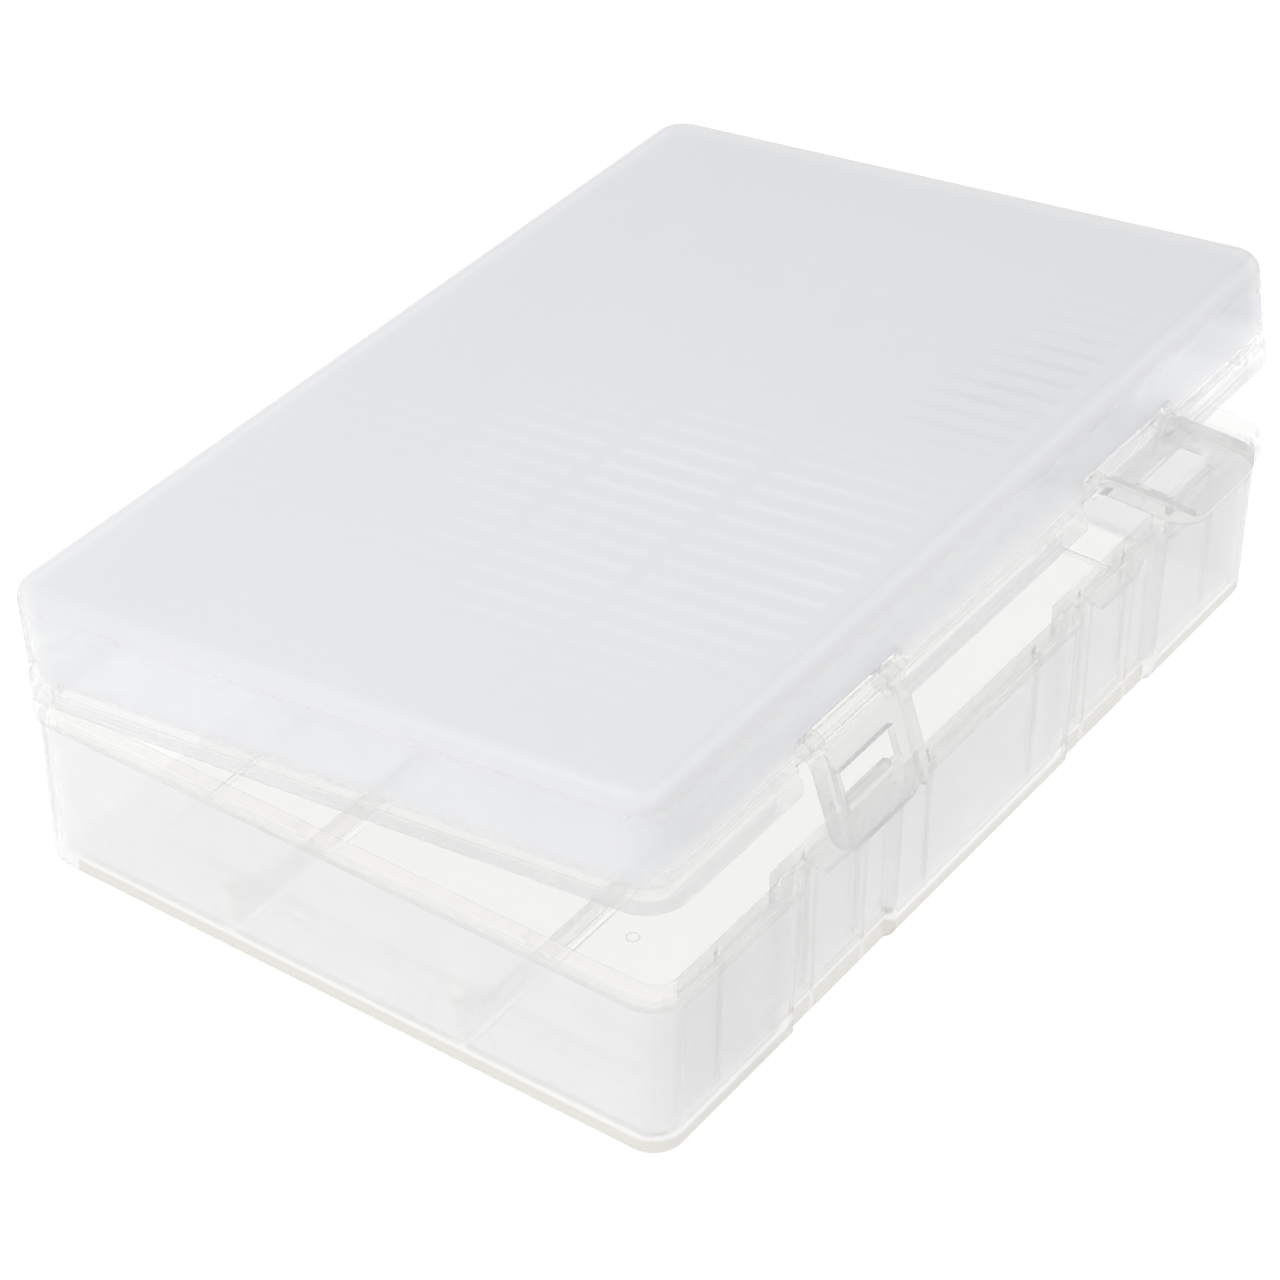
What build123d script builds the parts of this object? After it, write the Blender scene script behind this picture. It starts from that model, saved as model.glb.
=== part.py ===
"""Battery storage box: a ribbed tray, a hinged lid, two snap latches and two hinge pins."""
import os
from math import atan, degrees
from build123d import *

# Overall sizes of the closed box, in millimetres
box_length = 190.0
box_depth = 129.8
base_height = 34.1
lid_height = 20.8
corner_radius = 7.0

# Moulded walls
wall = 2.0
floor = 2.0
flange_reach = 1.0
flange_height = 3.0
base_draft = 0.3
bottom_round = 2.0
inner_round = 1.5
edge_break = 0.5
weld = 0.3

# Fits shared by the pieces
running_clearance = 0.06
free_clearance = 0.3
axial_clearance = 0.4
rim_gap = 0.2

# Pose in which the pieces are drawn, in degrees from closed
lid_rest = 6.9
left_latch_rest = 12.0
right_latch_rest = 81.0

# Latch stations on the front wall
latch_end_inset = 52.4
niche_width = 30.7
niche_flare = 1.2
niche_recess = 1.85
catch_inset = 1.5
catch_height = 6.0
catch_top_width = 23.6
catch_foot_width = 12.0

# Ribs inside the tray
floor_rib_y = 23.5
floor_rib_thickness = 1.6
floor_rib_height = 5.2
gusset_height = 11.0
gusset_run = 12.0
bead_end_margin = 14.5
bead_side_margin = 15.4
bead_width = 1.0
bead_height = 0.5
bead_round = 3.0
wall_rib_width = 0.9
wall_rib_depth = 0.6
wall_rib_foot = 5.0
wall_rib_latch_gap = 25.8
wall_rib_end_inset = 18.0
niche_rib_offset = 7.45

# Lid
lid_top = 2.0
lid_wall_inset = 0.5
lid_draft = 0.6
lid_top_round = 3.2
lid_band_height = 2.8
seat_height = 2.8
tongue_thickness = 1.2
tongue_drop = 2.0
notch_width = 30.2
notch_height = 9.4
notch_round = 1.2
lid_rib_pitch = 5.0
lid_rib_end_margin = 6.0
lid_rib_side_margin = 4.3
lid_rib_width = 0.9
lid_rib_drop = 0.4
lid_strip_width = 3.0
lid_rib_middle_span = 23.2

# Latch, measured from its pivot
pivot_inset = 1.6
pivot_height = 5.9
rod_radius = 1.2
clip_radius = 2.1
clip_width = 2.9
clip_heel = 3.5
mouth_share = 0.8
latch_width = 24.2
latch_length = 19.8
plate_thickness = 1.5
plate_head = 1.6
rail_width = 2.1
rail_rise = 1.2
rail_head = 3.5
latch_corner = 5.0
window_width = 15.2
window_head = 6.5
hook_width = 12.6
hook_reach = 1.25
hook_depth = 2.4

# Hinge at the back
hinge_end_inset = 40.0
hinge_setback = 2.9
knuckle_radius = 2.4
hinge_pin_radius = 1.0
lid_knuckle_length = 14.0
base_knuckle_length = 6.0
lug_height = 8.0
lug_shoulder = 1.2
pin_end_gap = 0.2
pin_chamfer = 0.3

# Planes and lengths that follow from the sizes above
front_y = -box_depth / 2
back_y = box_depth / 2
hinge_x = box_length / 2 - hinge_end_inset
hinge_y = back_y + hinge_setback
hinge_z = base_height
latch_x = box_length / 2 - latch_end_inset
wall_length = box_length - 2 * flange_reach
wall_depth = box_depth - 2 * flange_reach
wall_radius = corner_radius - flange_reach
foot_length = wall_length - 2 * base_draft
foot_depth = wall_depth - 2 * base_draft
foot_radius = wall_radius - base_draft
base_taper = degrees(atan(base_draft / base_height))
rim_inset = flange_reach + wall
niche_inset = flange_reach + niche_recess
niche_floor_width = niche_width - 2 * niche_flare
pivot_y = front_y + pivot_inset
pivot_z = base_height + pivot_height
plate_back = pivot_inset + free_clearance - catch_inset
stations = [(-latch_x, 0), (latch_x, 0)]


# Hollow of the tray, rounded along the floor
with BuildPart() as base_hollow:
    with BuildSketch(Plane.XY.offset(floor)):
        RectangleRounded(foot_length - 2 * wall, foot_depth - 2 * wall, foot_radius - wall)
    extrude(amount=base_height, taper=-base_taper)
    fillet(base_hollow.faces().sort_by(Axis.Z)[0].edges(), inner_round)

# Tray with its rim flange, latch niches, catches, ribs and hinge knuckles
with BuildPart() as base:
    with BuildSketch():
        RectangleRounded(foot_length, foot_depth, foot_radius)
    extrude(amount=base_height, taper=-base_taper)
    fillet(base.faces().sort_by(Axis.Z)[0].edges(), bottom_round)
    with BuildSketch(Plane.XY.offset(base_height - flange_height)):
        RectangleRounded(box_length, box_depth, corner_radius)
    extrude(amount=flange_height)
    chamfer(base.faces().sort_by(Axis.Z)[-1].edges(), edge_break)
    add(base_hollow.part, mode=Mode.SUBTRACT)

    # The front wall steps inward at each latch and keeps its thickness
    bulge_y = front_y + niche_inset + wall / 2
    with BuildSketch(Plane.XY.offset(floor / 2)):
        with Locations(*[(x, bulge_y) for x, _ in stations]):
            Rectangle(niche_width + 2 * wall, wall + 2 * weld)
    extrude(amount=base_height - floor / 2)
    with BuildSketch(Plane.XY):
        with Locations(*[(x, front_y) for x, _ in stations]):
            Polygon(
                (-niche_width / 2 - niche_flare, -niche_inset),
                (niche_width / 2 + niche_flare, -niche_inset),
                (niche_width / 2, flange_reach),
                (niche_floor_width / 2, niche_inset),
                (-niche_floor_width / 2, niche_inset),
                (-niche_width / 2, flange_reach),
                align=None,
            )
    extrude(amount=base_height, mode=Mode.SUBTRACT)

    # Catch that each latch hooks under
    with BuildSketch(Plane.XZ.offset(box_depth / 2 - catch_inset)):
        with Locations(*[(x, base_height) for x, _ in stations]):
            Polygon(
                (-catch_top_width / 2, 0),
                (-catch_foot_width / 2, -catch_height),
                (catch_foot_width / 2, -catch_height),
                (catch_top_width / 2, 0),
                align=None,
            )
    extrude(amount=catch_inset - niche_inset - weld)

    # Two floor ribs that part the tray into three rows, swept up at the end walls
    rib_end = box_length / 2 - rim_inset + weld
    rib_top = floor + floor_rib_height
    with BuildSketch(Plane.XZ.offset(floor_rib_y), Plane.XZ.offset(-floor_rib_y)):
        with BuildLine():
            Polyline(
                (-rib_end, floor - weld),
                (-rib_end, floor + gusset_height),
                (-rib_end + gusset_run, rib_top),
                (rib_end - gusset_run, rib_top),
                (rib_end, floor + gusset_height),
                (rib_end, floor - weld),
                close=True,
            )
        make_face()
    extrude(amount=floor_rib_thickness / 2, both=True)
    bead_length = box_length - 2 * bead_end_margin
    bead_depth = box_depth - 2 * bead_side_margin
    with BuildSketch(Plane.XY.offset(floor - weld)):
        RectangleRounded(bead_length, bead_depth, bead_round)
        RectangleRounded(
            bead_length - 2 * bead_width, bead_depth - 2 * bead_width, bead_round - bead_width, mode=Mode.SUBTRACT
        )
    extrude(amount=bead_height + weld)

    # Thin upright ribs inside the front wall
    wall_rib_rise = base_height - flange_height - wall_rib_foot
    wall_rib_y = front_y + rim_inset
    niche_rib_y = front_y + niche_inset + wall
    rib_places = (latch_x - wall_rib_latch_gap, box_length / 2 - wall_rib_end_inset)
    plain_ribs = [(s * x, wall_rib_y) for s in (-1, 1) for x in rib_places]
    niche_ribs = [(x + s * niche_rib_offset, niche_rib_y) for x, _ in stations for s in (-1, 1)]
    with BuildSketch(Plane.XY.offset(wall_rib_foot)):
        with Locations(*plain_ribs, *niche_ribs):
            Rectangle(wall_rib_width, 2 * wall_rib_depth)
    extrude(amount=wall_rib_rise)

    # Outer knuckles of the two hinges, bored for the press fit of the pins
    knuckle_gap = lid_knuckle_length / 2 + axial_clearance
    knuckle_starts = [s * hinge_x + e for s in (-1, 1) for e in (knuckle_gap, -knuckle_gap - base_knuckle_length)]
    with BuildSketch(*[Plane.YZ.offset(x) for x in knuckle_starts]):
        with Locations((hinge_y, hinge_z)):
            Circle(knuckle_radius)
        Polygon(
            (back_y - flange_reach - weld, hinge_z - lug_height),
            (hinge_y + knuckle_radius, hinge_z),
            (hinge_y, hinge_z),
            (back_y - weld, hinge_z - lug_shoulder),
            (back_y - flange_reach - weld, hinge_z - lug_shoulder),
            align=None,
        )
    extrude(amount=base_knuckle_length)
    with BuildSketch(*[Plane.YZ.offset(x) for x in knuckle_starts]):
        with Locations((hinge_y, hinge_z)):
            Circle(hinge_pin_radius)
    extrude(amount=base_knuckle_length, mode=Mode.SUBTRACT)


# Hollow of the lid, rounded under its top
lid_base_z = base_height + rim_gap
lid_length = box_length - 2 * lid_wall_inset
lid_depth = box_depth - 2 * lid_wall_inset
lid_radius = corner_radius - lid_wall_inset
lid_taper = degrees(atan(lid_draft / lid_height))
with BuildPart() as lid_hollow:
    with BuildSketch(Plane.XY.offset(lid_base_z)):
        RectangleRounded(lid_length - 2 * wall, lid_depth - 2 * wall, lid_radius - wall)
    extrude(amount=lid_height - rim_gap - lid_top, taper=lid_taper)
    fillet(lid_hollow.faces().sort_by(Axis.Z)[-1].edges(), inner_round)

# Lid with its rim band, locating tongue, latch notches, pivot rods and fine ribs
with BuildPart() as lid:
    with BuildSketch(Plane.XY.offset(lid_base_z)):
        RectangleRounded(lid_length, lid_depth, lid_radius)
    extrude(amount=lid_height - rim_gap, taper=lid_taper)
    fillet(lid.faces().sort_by(Axis.Z)[-1].edges(), lid_top_round)
    with BuildSketch(Plane.XY.offset(lid_base_z)):
        RectangleRounded(box_length, box_depth, corner_radius)
    extrude(amount=lid_band_height)
    add(lid_hollow.part, mode=Mode.SUBTRACT)

    # Seat inside the rim, and the tongue under it that enters the tray
    tongue_inset = rim_inset + free_clearance
    tongue_inner = tongue_inset + tongue_thickness
    with BuildSketch(Plane.XY.offset(lid_base_z)):
        RectangleRounded(box_length - 2 * wall, box_depth - 2 * wall, corner_radius - wall)
        RectangleRounded(
            box_length - 2 * tongue_inner, box_depth - 2 * tongue_inner, corner_radius - tongue_inner, mode=Mode.SUBTRACT
        )
    extrude(amount=seat_height)
    with BuildSketch(Plane.XY.offset(base_height - tongue_drop)):
        RectangleRounded(
            box_length - 2 * tongue_inset, box_depth - 2 * tongue_inset, corner_radius - tongue_inset
        )
        RectangleRounded(
            box_length - 2 * tongue_inner, box_depth - 2 * tongue_inner, corner_radius - tongue_inner, mode=Mode.SUBTRACT
        )
    extrude(amount=tongue_drop + rim_gap + weld)

    # Notches through the front wall, with the tongue cleared wider around the tray niches
    notch_floor = lid_base_z - tongue_drop - rim_gap - weld
    notch_rise = base_height + notch_height - notch_floor
    with BuildSketch(Plane.XZ.offset(box_depth / 2 + flange_reach)):
        with Locations(*[(x, notch_floor + notch_rise / 2 - notch_round) for x, _ in stations]):
            RectangleRounded(notch_width, notch_rise + 2 * notch_round, notch_round)
    extrude(amount=-tongue_inner - flange_reach - weld, mode=Mode.SUBTRACT)
    niche_clear = niche_width + 2 * wall + 2 * free_clearance
    with BuildSketch(Plane.XY.offset(notch_floor)):
        with Locations(*[(x, front_y + tongue_inset + tongue_thickness / 2) for x, _ in stations]):
            Rectangle(niche_clear, tongue_thickness + 2 * weld)
    extrude(amount=lid_base_z - notch_floor, mode=Mode.SUBTRACT)

    # Rod across each notch, on which a latch clips and turns
    rod_span = notch_width + 2 * weld
    with BuildSketch(*[Plane.YZ.offset(x - rod_span / 2) for x, _ in stations]):
        with Locations((pivot_y, pivot_z)):
            Circle(rod_radius)
    extrude(amount=rod_span)

    # Fine ribs under the top, broken by plain strips
    rib_z = base_height + lid_height - lid_top
    lid_rib_room = lid_length - 2 * wall - 2 * lid_rib_end_margin - lid_rib_width
    lid_rib_count = int(lid_rib_room / lid_rib_pitch) + 1
    lid_rib_reach = lid_depth / 2 - wall - lid_rib_side_margin
    lid_rib_outer_span = lid_rib_reach - 3 * lid_strip_width / 2 - lid_rib_middle_span
    middle_y = lid_strip_width / 2 + lid_rib_middle_span / 2
    outer_y = 3 * lid_strip_width / 2 + lid_rib_middle_span + lid_rib_outer_span / 2
    with BuildSketch(Plane.XY.offset(rib_z + weld)):
        for y, span in ((middle_y, lid_rib_middle_span), (outer_y, lid_rib_outer_span)):
            with Locations((0, y), (0, -y)):
                with GridLocations(lid_rib_pitch, 0, lid_rib_count, 1):
                    Rectangle(lid_rib_width, span)
    extrude(amount=-lid_rib_drop - weld)

    # Middle knuckles of the hinges, bored to turn on the pins
    with BuildSketch(*[Plane.YZ.offset(s * hinge_x - lid_knuckle_length / 2) for s in (-1, 1)]):
        with Locations((hinge_y, hinge_z)):
            Circle(knuckle_radius)
        Polygon(
            (back_y - lid_wall_inset - 2 * weld, hinge_z + lug_height),
            (back_y - lid_wall_inset - 2 * weld, hinge_z + lug_shoulder),
            (back_y - weld, hinge_z + lug_shoulder),
            (hinge_y, hinge_z),
            (hinge_y + knuckle_radius, hinge_z),
            align=None,
        )
    extrude(amount=lid_knuckle_length)
    with BuildSketch(*[Plane.YZ.offset(s * hinge_x - lid_knuckle_length / 2) for s in (-1, 1)]):
        with Locations((hinge_y, hinge_z)):
            Circle(hinge_pin_radius + running_clearance)
    extrude(amount=lid_knuckle_length, mode=Mode.SUBTRACT)


# Snap latch drawn closed about its pivot: two spring clips, a plate with rails, a window and a hook
plate_front = plate_back + plate_thickness
hook_z = -catch_height - pivot_height - free_clearance
clip_starts = [-latch_width / 2, latch_width / 2 - clip_width]
with BuildPart() as latch:
    # Plate with rounded lower corners
    plate_rise = latch_length - plate_head
    with BuildSketch(Plane.XZ.offset(plate_back)):
        with Locations((0, -plate_head - plate_rise / 2)):
            plate_outline = Rectangle(latch_width, plate_rise)
        fillet(plate_outline.vertices().group_by(Axis.Y)[0], latch_corner)
    extrude(amount=plate_thickness)

    # Clips around the rod, each joined to the head of the plate
    with BuildSketch(*[Plane.YZ.offset(x) for x in clip_starts]):
        Circle(clip_radius)
        Polygon(
            (0, 0),
            (-clip_radius, 0),
            (-plate_front, -clip_heel),
            (-plate_back, -clip_heel),
            (0, -clip_radius),
            align=None,
        )
    extrude(amount=clip_width)

    # Raised rails along both sides, ramped up from the head and following the lower corners
    with BuildSketch(Plane.XZ.offset(plate_front - weld)):
        with Locations((0, -plate_head - plate_rise / 2)):
            rail_outline = Rectangle(latch_width, plate_rise)
        fillet(rail_outline.vertices().group_by(Axis.Y)[0], latch_corner)
        with Locations((0, -plate_head - plate_rise / 2)):
            Rectangle(latch_width - 2 * rail_width, plate_rise, mode=Mode.SUBTRACT)
    extrude(amount=rail_rise + weld)
    with BuildSketch(Plane.YZ.offset(-latch_width / 2)):
        Polygon(
            (-plate_front, -plate_head),
            (-plate_front - rail_rise, -plate_head),
            (-plate_front - rail_rise, -rail_head),
            align=None,
        )
    extrude(amount=latch_width, mode=Mode.SUBTRACT)

    # Bore of the clips and the narrower mouth through which they snap onto the rod
    with BuildSketch(Plane.YZ.offset(-latch_width / 2)):
        Circle(rod_radius + running_clearance)
        with Locations((clip_radius / 2, 0)):
            Rectangle(clip_radius, 2 * rod_radius * mouth_share)
    extrude(amount=latch_width, mode=Mode.SUBTRACT)

    # Hook on the inner face, and the window above it
    with BuildSketch(Plane.YZ.offset(-hook_width / 2)):
        Polygon(
            (-plate_back - weld, hook_z),
            (-plate_back + hook_reach, hook_z),
            (-plate_back + hook_reach, hook_z - hook_depth / 3),
            (-plate_back - weld, hook_z - hook_depth),
            align=None,
        )
    extrude(amount=hook_width)
    with BuildSketch(Plane.XZ):
        with Locations((0, (hook_z - window_head) / 2)):
            Rectangle(window_width, -hook_z - window_head)
    extrude(amount=plate_front + rail_rise, mode=Mode.SUBTRACT)

# Steel hinge pin, drawn on the hinge line at the middle of the box
pin_length = lid_knuckle_length + 2 * axial_clearance + 2 * base_knuckle_length - 2 * pin_end_gap
with BuildPart() as hinge_pin:
    with BuildSketch(Plane.YZ.offset(-pin_length / 2)):
        with Locations((hinge_y, hinge_z)):
            Circle(hinge_pin_radius)
    extrude(amount=pin_length)
    chamfer(hinge_pin.edges().filter_by(GeomType.CIRCLE), pin_chamfer)

# Pieces in the drawn pose: lid ajar about the hinge line, each latch turned about its pivot
hinge_line = Axis((0, hinge_y, hinge_z), (-1, 0, 0))
pivot_line = Axis((0, 0, 0), (-1, 0, 0))
lid_piece = lid.part.rotate(hinge_line, lid_rest)
left_piece = latch.part.rotate(pivot_line, left_latch_rest)
left_piece = left_piece.translate((-latch_x, pivot_y, pivot_z)).rotate(hinge_line, lid_rest)
right_piece = latch.part.rotate(pivot_line, right_latch_rest)
right_piece = right_piece.translate((latch_x, pivot_y, pivot_z)).rotate(hinge_line, lid_rest)
left_pin = hinge_pin.part.translate((-hinge_x, 0, 0))
right_pin = hinge_pin.part.translate((hinge_x, 0, 0))

os.makedirs("parts", exist_ok=True)
base.part.label = "base_tray"
export_step(base.part, "parts/base_tray.step")
lid_piece.label = "lid"
export_step(lid_piece, "parts/lid.step")
left_piece.label = "latch_left"
export_step(left_piece, "parts/latch_left.step")
right_piece.label = "latch_right"
export_step(right_piece, "parts/latch_right.step")
left_pin.label = "hinge_pin_left"
export_step(left_pin, "parts/hinge_pin_left.step")
right_pin.label = "hinge_pin_right"
export_step(right_pin, "parts/hinge_pin_right.step")
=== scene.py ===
"""Battery storage box of frosted polypropylene: tray, hinge pins, lid and two snap latches on paper."""

import bpy
import numpy as np
from mathutils import Matrix

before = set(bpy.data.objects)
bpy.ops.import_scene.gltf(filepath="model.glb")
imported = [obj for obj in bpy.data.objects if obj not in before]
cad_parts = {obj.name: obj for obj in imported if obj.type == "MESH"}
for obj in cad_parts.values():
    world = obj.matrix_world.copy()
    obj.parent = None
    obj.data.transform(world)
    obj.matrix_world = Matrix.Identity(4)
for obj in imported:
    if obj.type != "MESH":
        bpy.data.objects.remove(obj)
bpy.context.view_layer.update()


# Tray
# The open lower half: floor, walls, rim flange, catches and low ribs in one injection moulding of natural
# polypropylene. The steel mould was etched, so the skin is frosted, and thin walls let the light through.
def linear(code):
    """Linear RGBA of an sRGB hex colour: each channel follows the sRGB curve, straight below 0.04045."""
    c = np.array([int(code[i:i + 2], 16) for i in (1, 3, 5)]) / 255
    c = np.where(c <= 0.04045, c / 12.92, ((c + 0.055) / 1.055) ** 2.4)
    return (*c.tolist(), 1.0)


def add(tree, kind, sources=(), **settings):
    """One node: settings go on its own properties or, by name, on its input sockets. Each source is a pair of
    an output to link or a value to set, and the input that takes it."""
    n = tree.nodes.new(kind)
    for name, value in settings.items():
        if hasattr(n, name):
            setattr(n, name, value)
        else:
            n.inputs[name.replace("_", " ")].default_value = value
    for source, entry in sources:
        if isinstance(source, bpy.types.NodeSocket):
            tree.links.new(source, n.inputs[entry])
        else:
            n.inputs[entry].default_value = source
    return n


def all_of(tree, *masks):
    """One mask that holds where all the given masks do: their product."""
    both = masks[0]
    for mask in masks[1:]:
        both = add(tree, "ShaderNodeMath", [(both, 0), (mask, 1)], operation="MULTIPLY").outputs[0]
    return both


def where(tree, mask, **looks):
    """Inside the mask, each named input of the plastic goes over from what it has to the value given."""
    skin = next(n for n in tree.nodes if n.type == "BSDF_PRINCIPLED")
    for name, value in looks.items():
        entry = skin.inputs[name.replace("_", " ")]
        tint = entry.type == "RGBA"
        before, after, result = (6, 7, 2) if tint else (2, 3, 0)
        had = entry.links[0].from_socket if entry.is_linked else entry.default_value
        blend = add(
            tree, "ShaderNodeMix", [(mask, 0), (had, before), (value, after)],
            data_type="RGBA" if tint else "FLOAT",
        )
        tree.links.new(blend.outputs[result], entry)


def frosted_polypropylene(name, pale, deep, cloud_mm, haze, cover, clear, seed):
    """Etched natural polypropylene: cloudy flow of the melt in the colour, a fine etched grain in the bump,
    faint rubbed streaks in the gloss, and light passing partly straight through, partly with a blur."""
    mat = bpy.data.materials.new(name)
    mat.use_nodes = True
    tree = mat.node_tree
    tree.nodes.clear()
    place = add(tree, "ShaderNodeTexCoord").outputs["Object"]
    shift = (seed, 0.37 * seed, 0.11 * seed)
    spot = add(tree, "ShaderNodeMapping", [(place, "Vector")], Location=shift).outputs[0]
    # Melt flow clouds, a few millimetres across
    cloud = add(
        tree, "ShaderNodeTexNoise", [(spot, "Vector")], Scale=1000 / cloud_mm, Detail=3.0, Roughness=0.55
    )
    shade = add(tree, "ShaderNodeValToRGB", [(cloud.outputs["Fac"], "Fac")])
    for element, at, colour in zip(shade.color_ramp.elements, (0.3, 0.7), (deep, pale)):
        element.position = at
        element.color = linear(colour)
    # Rubbed streaks along the length
    streak_mm = 1.0
    streak_stretch = 15
    gloss_swing = 0.02
    drawn = add(tree, "ShaderNodeMapping", [(spot, "Vector")], Scale=(1 / streak_stretch, 1, 1))
    streak = add(
        tree, "ShaderNodeTexNoise", [(drawn.outputs[0], "Vector")], Scale=1000 / streak_mm, Detail=2.0
    )
    gloss = add(
        tree, "ShaderNodeMapRange", [(streak.outputs["Fac"], "Value")],
        From_Min=0.3, From_Max=0.7, To_Min=haze - gloss_swing, To_Max=haze + gloss_swing,
    )
    # Etched grain, really about 0.1 mm, drawn larger so that it shows
    grain_mm = 0.6
    grain = add(tree, "ShaderNodeTexNoise", [(spot, "Vector")], Scale=1000 / grain_mm, Detail=1.0)
    edge = add(tree, "ShaderNodeBevel", samples=4, Radius=0.00025)
    bump = add(
        tree, "ShaderNodeBump", [(grain.outputs["Fac"], "Height"), (edge.outputs[0], "Normal")],
        Strength=0.015, Distance=0.00004,
    )
    skin = add(
        tree, "ShaderNodeBsdfPrincipled",
        [
            (shade.outputs["Color"], "Base Color"), (gloss.outputs[0], "Roughness"),
            (bump.outputs[0], "Normal"),
        ],
        Alpha=cover, Transmission_Weight=clear, IOR=1.12, Coat_Weight=0.5, Coat_Roughness=0.2,
    )
    # A long way through the plastic, along a wall or in a rim, looks creamy
    cream = add(tree, "ShaderNodeVolumeAbsorption", Color=linear("#FFF0DC"), Density=2.4)
    add(tree, "ShaderNodeOutputMaterial", [(skin.outputs[0], "Surface"), (cream.outputs[0], "Volume")])
    return mat


tray_plastic = frosted_polypropylene(
    "frosted_polypropylene_tray", pale="#FBFBFC", deep="#F8F8F9", cloud_mm=9.0,
    haze=0.17, cover=0.69, clear=0.60, seed=0.0,
)
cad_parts["base_tray"].material_slots[0].material = tray_plastic
tree = tray_plastic.node_tree
coords = add(tree, "ShaderNodeTexCoord").outputs
axes = add(tree, "ShaderNodeSeparateXYZ", [(coords["Object"], 0)]).outputs
out_x = add(tree, "ShaderNodeMath", [(axes["X"], 0)], operation="ABSOLUTE").outputs[0]
out_y = add(tree, "ShaderNodeMath", [(axes["Y"], 0)], operation="ABSOLUTE").outputs[0]
facing = add(tree, "ShaderNodeSeparateXYZ", [(coords["Normal"], 0)]).outputs["Z"]
lying = add(tree, "ShaderNodeMath", [(facing, 0)], operation="ABSOLUTE").outputs[0]
# The thick rounding between floor and walls, seen from outside, is creamier and lets less through
foot_back = 0.055
low = add(
    tree, "ShaderNodeMapRange", [(axes["Z"], "Value")],
    From_Min=0.0034, From_Max=0.0040, To_Min=1.0, To_Max=0.0,
).outputs[0]
steep = add(
    tree, "ShaderNodeMapRange", [(lying, "Value")], From_Min=0.7, From_Max=0.97, To_Min=1.0, To_Max=0.0
).outputs[0]
outward = add(
    tree, "ShaderNodeVectorMath", [(coords["Normal"], 0), (coords["Object"], 1)], operation="DOT_PRODUCT"
).outputs["Value"]
outer = add(tree, "ShaderNodeMath", [(outward, 0), (0.0, 1)], operation="GREATER_THAN").outputs[0]
before = add(tree, "ShaderNodeMath", [(axes["Y"], 0), (foot_back, 1)], operation="LESS_THAN").outputs[0]
foot = all_of(tree, low, steep, outer, before)
where(tree, foot, Base_Color=linear("#E2DED7"), Alpha=0.9, Transmission_Weight=0.4)
# The back wall, with nothing behind it, is the clearest
rear = add(tree, "ShaderNodeMapRange", [(axes["Y"], "Value")], From_Min=0.0580, From_Max=0.0610).outputs[0]
where(tree, rear, Base_Color=linear("#F8F8F7"), Alpha=0.5, Transmission_Weight=0.9)
# The two floor ribs are thin and almost clear
floor_rib_y, floor_rib_half = 0.0235, 0.0013
floor_rib_end = 0.0925
floor_rib_mid, floor_rib_rise = 0.0105, 0.0081
rib = all_of(tree, *(
    add(tree, "ShaderNodeMath", [(place, 0), (middle, 1), (half, 2)], operation="COMPARE").outputs[0]
    for place, middle, half in (
        (out_y, floor_rib_y, floor_rib_half), (axes["X"], 0.0, floor_rib_end),
        (axes["Z"], floor_rib_mid, floor_rib_rise),
    )
))
where(tree, rib, Base_Color=linear("#F5F4F2"), Alpha=0.4, Transmission_Weight=0.85)
# The thin upright ribs inside the front wall show as fine dark lines
wall_rib_y, wall_rib_reach = -0.0588, 0.0034
wall_rib_half = 0.00052
near = add(
    tree, "ShaderNodeMath", [(axes["Y"], 0), (wall_rib_y, 1), (wall_rib_reach, 2)], operation="COMPARE"
).outputs[0]
for wall_rib_x in (0.0168, 0.0770, 0.0352, 0.0501):
    line = add(
        tree, "ShaderNodeMath", [(out_x, 0), (wall_rib_x, 1), (wall_rib_half, 2)], operation="COMPARE"
    ).outputs[0]
    where(
        tree, all_of(tree, line, near), Base_Color=linear("#ECEAE7"), Alpha=0.85, Transmission_Weight=0.56
    )
# The rim flange is clear, with light coming into it from all around
rim = add(tree, "ShaderNodeMapRange", [(axes["Z"], "Value")], From_Min=0.0300, From_Max=0.0312).outputs[0]
where(tree, rim, Base_Color=linear("#FBFAF8"), Alpha=0.44, Transmission_Weight=0.85)
# The floor itself is paler than the walls
floor_top = 0.004
level = add(tree, "ShaderNodeMapRange", [(lying, "Value")], From_Min=0.9, From_Max=0.99).outputs[0]
deep = add(tree, "ShaderNodeMath", [(axes["Z"], 0), (floor_top, 1)], operation="LESS_THAN").outputs[0]
where(tree, all_of(tree, level, deep), Base_Color=linear("#E9E8E5"), Alpha=0.5, Transmission_Weight=0.9)
# Ring left by an ejector pin of the mould, 2.2 mm across, on the floor near the front left corner
ring_spot = (-0.0544, -0.0301, 0.002)
ring_radius, ring_half = 0.0011, 0.00016
away = add(
    tree, "ShaderNodeVectorMath", [(coords["Object"], 0), (ring_spot, 1)], operation="DISTANCE"
).outputs["Value"]
ring = add(
    tree, "ShaderNodeMath", [(away, 0), (ring_radius, 1), (ring_half, 2)], operation="COMPARE"
).outputs[0]
where(tree, ring, Base_Color=linear("#D4D2CE"), Transmission_Weight=0.5)

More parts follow.
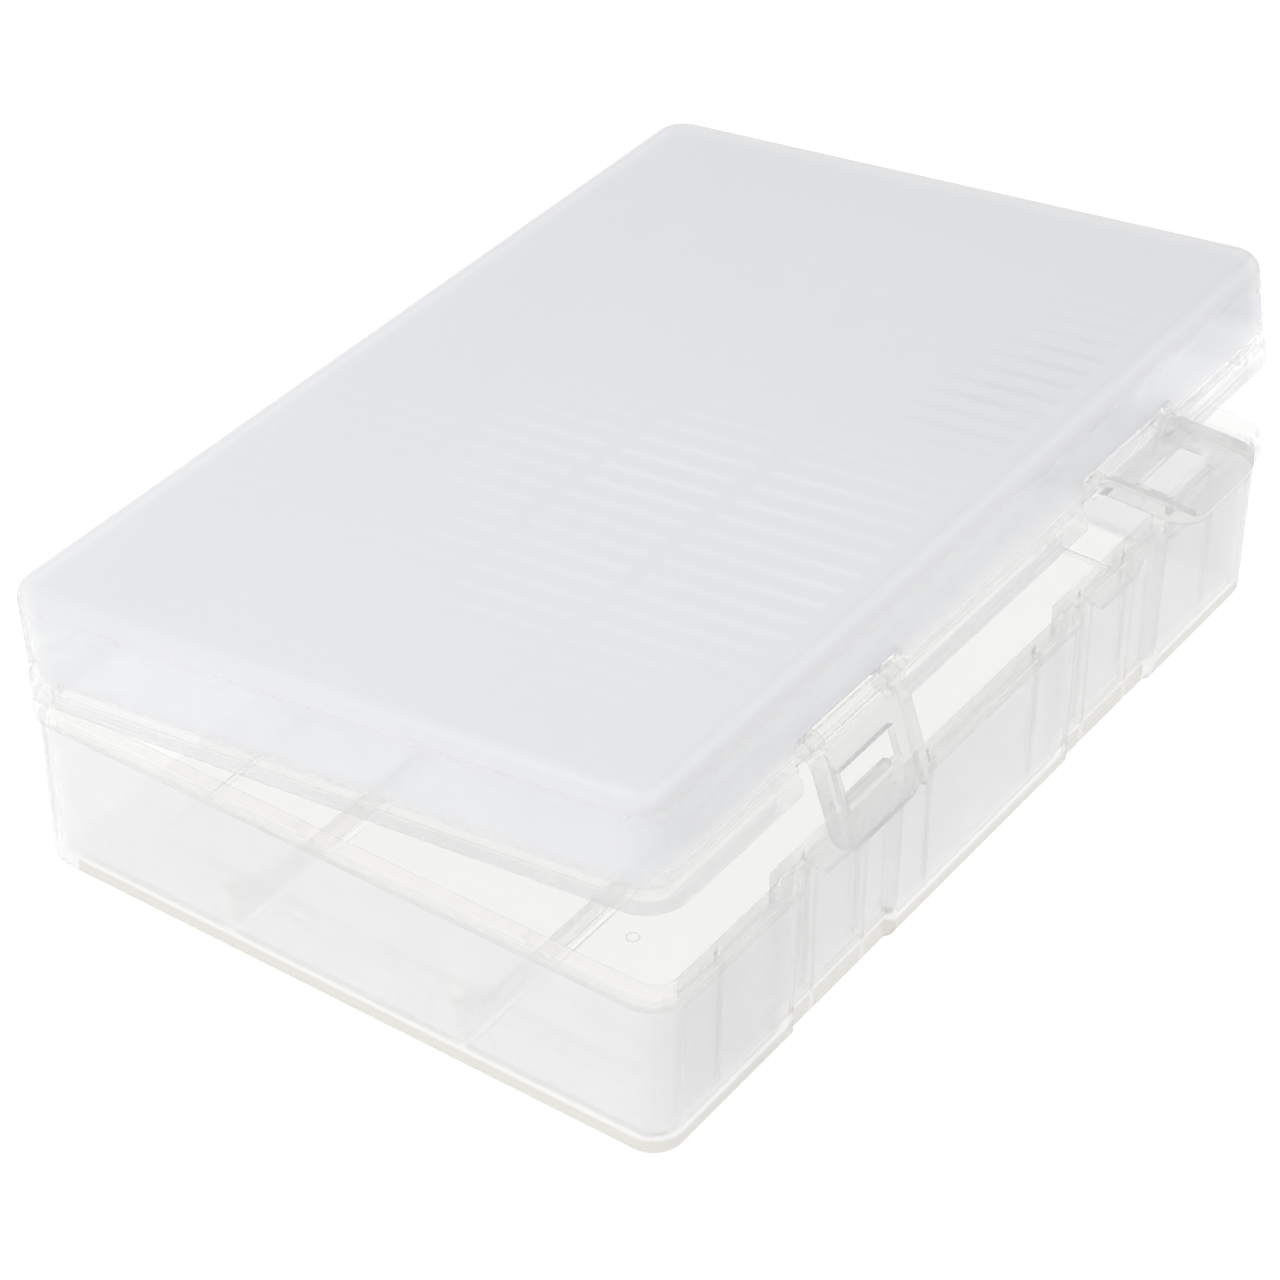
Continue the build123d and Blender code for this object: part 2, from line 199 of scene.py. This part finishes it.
# Hinge pins
# Two short lengths of bright drawn steel wire, cut and chamfered, pressed into the tray's knuckles.
# Drawing leaves fine lines along the pin, which show as streaks in its tone and gloss.
line_mm = 0.2
line_stretch = 40
pin_steel = bpy.data.materials.new("bright_drawn_steel")
pin_steel.use_nodes = True
tree = pin_steel.node_tree
tree.nodes.clear()
place = add(tree, "ShaderNodeTexCoord").outputs["Object"]
along = add(tree, "ShaderNodeMapping", [(place, "Vector")], Scale=(1 / line_stretch, 1, 1)).outputs[0]
line = add(
    tree, "ShaderNodeTexNoise", [(along, "Vector")], Scale=1000 / line_mm, Detail=2.0
).outputs["Fac"]
tone = add(tree, "ShaderNodeValToRGB", [(line, "Fac")])
tone.color_ramp.elements[0].color = linear("#B4B6B8")
tone.color_ramp.elements[1].color = linear("#D6D8DA")
drawn = add(tree, "ShaderNodeMapRange", [(line, "Value")], To_Min=0.22, To_Max=0.38).outputs[0]
wire = add(
    tree, "ShaderNodeBsdfPrincipled",
    [(tone.outputs["Color"], "Base Color"), (drawn, "Roughness")], Metallic=1.0,
)
add(tree, "ShaderNodeOutputMaterial", [(wire.outputs[0], "Surface")])
for pin in ("hinge_pin_left", "hinge_pin_right"):
    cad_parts[pin].material_slots[0].material = pin_steel

# Lid
# The upper half, one moulding of the same plastic with fine ribs under its top, a rim band and a tongue.
# It looks a little cooler than the tray, as the light that leaves it has crossed more plastic.
lid_plastic = frosted_polypropylene(
    "frosted_polypropylene_lid", pale="#F8F9FC", deep="#F5F6F9", cloud_mm=12.0,
    haze=0.16, cover=0.72, clear=0.6, seed=1.3,
)
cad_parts["lid"].material_slots[0].material = lid_plastic
# Places on the lid, turned back to where they lie when it is shut
lid_tilt = np.radians(6.9)
hinge = np.array([0.0, 0.0678, 0.0341])
cos_tilt, sin_tilt = np.cos(lid_tilt), np.sin(lid_tilt)
untilt = np.array([[1, 0, 0], [0, cos_tilt, -sin_tilt], [0, sin_tilt, cos_tilt]])
tree = lid_plastic.node_tree
coords = add(tree, "ShaderNodeTexCoord").outputs
closed = add(
    tree, "ShaderNodeMapping", [(coords["Object"], "Vector")],
    Rotation=(lid_tilt, 0, 0), Location=tuple((hinge - untilt @ hinge).tolist()),
).outputs[0]
axes = add(tree, "ShaderNodeSeparateXYZ", [(closed, 0)]).outputs
# The back wall, with nothing behind it, is the clearest
rear = add(tree, "ShaderNodeMapRange", [(axes["Y"], "Value")], From_Min=0.0580, From_Max=0.0610).outputs[0]
where(tree, rear, Base_Color=linear("#F8F8F7"), Alpha=0.5, Transmission_Weight=0.9)
# The top is etched deeper than the walls, which slide out of the mould, so it is milky. Its darker grey is
# painted shade, standing in for the dimmer, cooler light from overhead, which also makes it look a little
# blue
top = add(
    tree, "ShaderNodeMapRange", [(axes["Z"], "Value")],
    interpolation_type="SMOOTHSTEP", From_Min=0.0490, From_Max=0.0545,
).outputs[0]
where(tree, top, Base_Color=linear("#E7E7E8"), Roughness=0.45, Alpha=0.98, Transmission_Weight=0.12)
# Its front rounding is painted paler: a painted highlight of the light that the paper throws up
fore = add(tree, "ShaderNodeSeparateXYZ", [(coords["Normal"], 0)]).outputs["Y"]
lit_brow = add(tree, "ShaderNodeMapRange", [(fore, "Value")], From_Min=-0.15, From_Max=-0.65).outputs[0]
where(tree, all_of(tree, lit_brow, top), Base_Color=linear("#F5F5F6"))
# Along its far end the light comes the long way through the rounding; the paler, warmer colour there is a
# painted glow of that light
far = add(tree, "ShaderNodeMapRange", [(axes["X"], "Value")], From_Min=0.0900, From_Max=0.0925).outputs[0]
where(tree, all_of(tree, far, top), Base_Color=linear("#F0EAE4"))
# The ribs under the top show through the frost as faint strokes, 5 mm apart, in four rows, seen at a slant, a
# quarter of a pitch from the ribs themselves.
# Where they are pale they are a painted highlight of the ribs catching the light, strongest from the left to
# the middle and fading towards the back
rib_pitch = 0.005
rib_slant = np.radians(-95.0)
rib_end = 0.0855
rows_reach = 0.06
patch_size = 0.03
turns = add(
    tree, "ShaderNodeMath", [(axes["X"], 0), (2 * np.pi / rib_pitch, 1), (rib_slant, 2)],
    operation="MULTIPLY_ADD",
).outputs[0]
wave = add(tree, "ShaderNodeMath", [(turns, 0)], operation="COSINE").outputs[0]
stroke = add(tree, "ShaderNodeMapRange", [(wave, "Value")], From_Min=0.0, From_Max=1.0).outputs[0]
span = add(
    tree, "ShaderNodeMapRange", [(axes["X"], "Value")], From_Min=-rib_end, From_Max=rib_end
).outputs[0]
ends = add(tree, "ShaderNodeValToRGB", [(span, "Fac")])
out_y = add(tree, "ShaderNodeMath", [(axes["Y"], 0)], operation="ABSOLUTE").outputs[0]
reach = add(tree, "ShaderNodeMath", [(out_y, 0), (rows_reach, 1)], operation="DIVIDE").outputs[0]
rows = add(tree, "ShaderNodeValToRGB", [(reach, "Fac")])
# Each step: place, strength of the pale strokes (painted highlight), strength of the dark ones (painted
# shade)
end_steps = (
    (0.0, 0, 0), (0.03, 0.1, 0), (0.15, 0.5, 0), (0.30, 1, 0), (0.44, 0.95, 0), (0.55, 0.15, 0.1),
    (0.60, 0.05, 0.9), (0.68, 0.05, 1), (0.80, 0.05, 0.5), (0.92, 0.05, 0.1), (1.0, 0, 0),
)
row_steps = (
    (0.02, 0, 0), (0.035, 1, 1), (0.40, 1, 1), (0.415, 0, 0),
    (0.458, 0, 0), (0.473, 1, 1), (0.955, 1, 1), (0.97, 0, 0),
)
for ramp, steps in ((ends.color_ramp, end_steps), (rows.color_ramp, row_steps)):
    while len(ramp.elements) < len(steps):
        ramp.elements.new(1.0)
    for element, (at, bright, dull) in zip(ramp.elements, steps):
        element.position = at
        element.color = (bright, dull, 0, 1)
highlight_share, shade_share, _ = add(tree, "ShaderNodeSeparateColor", [(ends.outputs["Color"], 0)]).outputs
lanes = add(tree, "ShaderNodeSeparateColor", [(rows.outputs["Color"], 0)]).outputs[0]
patch = add(tree, "ShaderNodeTexNoise", [(coords["Object"], "Vector")], Scale=1 / patch_size, Detail=1.0)
fade = add(
    tree, "ShaderNodeMapRange", [(patch.outputs["Fac"], "Value")],
    From_Min=0.35, From_Max=0.65, To_Min=0.10, To_Max=0.24,
).outputs[0]
mark = all_of(tree, stroke, lanes, fade, top)
highlight_fade_back = add(
    tree, "ShaderNodeMapRange", [(axes["Y"], "Value")],
    From_Min=-0.010, From_Max=0.028, To_Min=1.0, To_Max=0.18,
).outputs[0]
where(tree, all_of(tree, mark, highlight_fade_back, highlight_share), Base_Color=linear("#FDFDFE"))
# Near the front edge, right of the middle, they are painted shade, darker than the top
shaded_front_row = add(
    tree, "ShaderNodeMapRange", [(axes["Y"], "Value")], From_Min=-0.034, From_Max=-0.046
).outputs[0]
where(tree, all_of(tree, shaded_front_row, shade_share, mark), Base_Color=linear("#C0C2C5"))
# The rim band and the tongue are clear, with light coming into them from all around
rim = add(
    tree, "ShaderNodeMapRange", [(axes["Z"], "Value")],
    From_Min=0.0382, From_Max=0.0394, To_Min=1.0, To_Max=0.0,
).outputs[0]
where(tree, rim, Base_Color=linear("#FAFAFB"), Alpha=0.42, Transmission_Weight=0.85)
# The rods that carry the latches are thin and clear
pivot = np.array([0.0, -0.0633, 0.0400])
rod_reach = 0.0014
yz = add(tree, "ShaderNodeMapping", [(closed, "Vector")], Scale=(0, 1, 1)).outputs[0]
away = add(
    tree, "ShaderNodeVectorMath", [(yz, 0), (tuple(pivot.tolist()), 1)], operation="DISTANCE"
).outputs["Value"]
rod = add(tree, "ShaderNodeMath", [(away, 0), (rod_reach, 1)], operation="LESS_THAN").outputs[0]
where(tree, rod, Base_Color=linear("#FAFAF9"), Alpha=0.5, Transmission_Weight=0.9)

# Latches
# Two small mouldings that clip on the lid's rods: spring clips, a plate with side rails, a window and a hook.
# They are thick for their size, so they look a shade greyer than the walls.
latch_plastic = frosted_polypropylene(
    "frosted_polypropylene_latch", pale="#F8F8F8", deep="#F5F5F5", cloud_mm=6.0,
    haze=0.12, cover=0.85, clear=0.78, seed=2.9,
)
for latch in ("latch_left", "latch_right"):
    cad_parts[latch].material_slots[0].material = latch_plastic
# The clips around the rods are thin, so they are clearer than the plate
rest_pivot = hinge + untilt.T @ (pivot - hinge)
tree = latch_plastic.node_tree
place = add(tree, "ShaderNodeTexCoord").outputs["Object"]
yz = add(tree, "ShaderNodeMapping", [(place, "Vector")], Scale=(0, 1, 1)).outputs[0]
away = add(
    tree, "ShaderNodeVectorMath", [(yz, 0), (tuple(rest_pivot.tolist()), 1)], operation="DISTANCE"
).outputs["Value"]
clip = add(
    tree, "ShaderNodeMapRange", [(away, "Value")], From_Min=0.0023, From_Max=0.0030, To_Min=1.0, To_Max=0.0
).outputs[0]
where(tree, clip, Base_Color=linear("#FAFAF9"), Alpha=0.6, Transmission_Weight=0.9)
# The plate of the right one lies flat over the tray's wall; its darker colour is painted shade, for the way
# the light falls on it lying flat
side_x = add(tree, "ShaderNodeSeparateXYZ", [(place, 0)]).outputs["X"]
right_one = add(tree, "ShaderNodeMath", [(side_x, 0), (0.0, 1)], operation="GREATER_THAN").outputs[0]
plate = add(
    tree, "ShaderNodeMath", [(right_one, 0), (clip, 1)], operation="SUBTRACT", use_clamp=True
).outputs[0]
where(tree, plate, Base_Color=linear("#EEEEED"), Transmission_Weight=0.76)

# Floor and backdrop
# A sheet of white paper under and behind the box. What the camera sees of it, directly or through plastic,
# is white, apart from the soft shadow of the box.
floor_half = 3.0
floor_z = -0.0003
camera_share = 0.86
spread_share = 0.8
corners = np.array([[-1, -1], [1, -1], [1, 1], [-1, 1]]) * floor_half
sheet = bpy.data.meshes.new("white_floor")
sheet.from_pydata(np.column_stack([corners, np.full(4, floor_z)]).tolist(), [], [(0, 1, 2, 3)])
white_floor = bpy.data.objects.new("white_floor", sheet)
bpy.context.scene.collection.objects.link(white_floor)
paper = bpy.data.materials.new("white_paper")
paper.use_nodes = True
tree = paper.node_tree
tree.nodes.clear()
path = add(tree, "ShaderNodeLightPath").outputs
matt = add(tree, "ShaderNodeBsdfDiffuse", Color=linear("#F4F4F4"))
glow = add(tree, "ShaderNodeEmission", Color=(1, 1, 1, 1), Strength=1.08)
lift = add(tree, "ShaderNodeMath", [(path["Is Camera Ray"], 0), (camera_share, 1)], operation="MULTIPLY")
spread = add(tree, "ShaderNodeMath", [(path["Is Diffuse Ray"], 0), (spread_share, 1)], operation="MULTIPLY")
shown = lift.outputs[0]
for ray in (path["Is Glossy Ray"], path["Is Transmission Ray"], spread.outputs[0]):
    shown = add(tree, "ShaderNodeMath", [(shown, 0), (ray, 1)], operation="MAXIMUM").outputs[0]
mix = add(tree, "ShaderNodeMixShader", [(shown, 0), (matt.outputs[0], 1), (glow.outputs[0], 2)])
add(tree, "ShaderNodeOutputMaterial", [(mix.outputs[0], "Surface")])
sheet.materials.append(paper)

# Light
# Soft studio light: a white room that is dimmer and cooler overhead, and one large soft box to the left.
# The room looks plain white to the camera, in reflections and through the plastic.
world = bpy.data.worlds.new("white_room")
bpy.context.scene.world = world
world.use_nodes = True
tree = world.node_tree
tree.nodes.clear()
path = add(tree, "ShaderNodeLightPath").outputs
way = add(tree, "ShaderNodeTexCoord").outputs["Generated"]
height = add(tree, "ShaderNodeSeparateXYZ", [(way, 0)]).outputs["Z"]
sky = add(tree, "ShaderNodeValToRGB", [(height, "Fac")])
sky.color_ramp.elements[0].color = linear("#F2F1EF")
sky.color_ramp.elements[1].color = linear("#DEE1E5")
room = add(tree, "ShaderNodeBackground", [(sky.outputs["Color"], "Color")], Strength=1.0)
white = add(tree, "ShaderNodeBackground", Color=(1, 1, 1, 1), Strength=1.0)
shown = path["Is Camera Ray"]
for ray in (path["Is Glossy Ray"], path["Is Transmission Ray"]):
    shown = add(tree, "ShaderNodeMath", [(shown, 0), (ray, 1)], operation="MAXIMUM").outputs[0]
mix = add(tree, "ShaderNodeMixShader", [(shown, 0), (room.outputs[0], 1), (white.outputs[0], 2)])
add(tree, "ShaderNodeOutputWorld", [(mix.outputs[0], "Surface")])

lamp_spot = np.array([-0.30, 0.12, 0.50])
lamp_aim = np.array([0.0, 0.0, 0.03])
lamp = bpy.data.lights.new("soft_box", "AREA")
lamp.shape = "RECTANGLE"
lamp.size = 0.4
lamp.size_y = 0.4
lamp.energy = 0.95
lamp_object = bpy.data.objects.new("soft_box", lamp)
back = (lamp_spot - lamp_aim) / np.linalg.norm(lamp_spot - lamp_aim)
side = np.cross([0.0, 0.0, 1.0], back)
side = side / np.linalg.norm(side)
turn = np.eye(4)
turn[:3, :4] = np.column_stack([side, np.cross(back, side), back, lamp_spot])
lamp_object.matrix_world = Matrix(turn.tolist())
bpy.context.scene.collection.objects.link(lamp_object)

# Camera
# Where the photograph was taken from, worked out from the box's own edges: about 37 degrees above the box,
# looking over its front left corner.
eye = np.array([-0.45459, -0.31190, 0.43067])
right = np.array([0.57798, -0.81603, 0.00585])
down = np.array([-0.48777, -0.35121, -0.79920])
ahead = np.array([0.65423, 0.45907, -0.60103])
camera = bpy.data.cameras.new("photo_camera")
camera.sensor_width = 36.0
camera.lens = 111.91
camera.clip_start = 0.01
camera_object = bpy.data.objects.new("photo_camera", camera)
turn = np.eye(4)
turn[:3, :4] = np.column_stack([right, -down, -ahead, eye])
camera_object.matrix_world = Matrix(turn.tolist())
bpy.context.scene.collection.objects.link(camera_object)
bpy.context.scene.camera = camera_object

bpy.context.scene.view_settings.view_transform = "Standard"
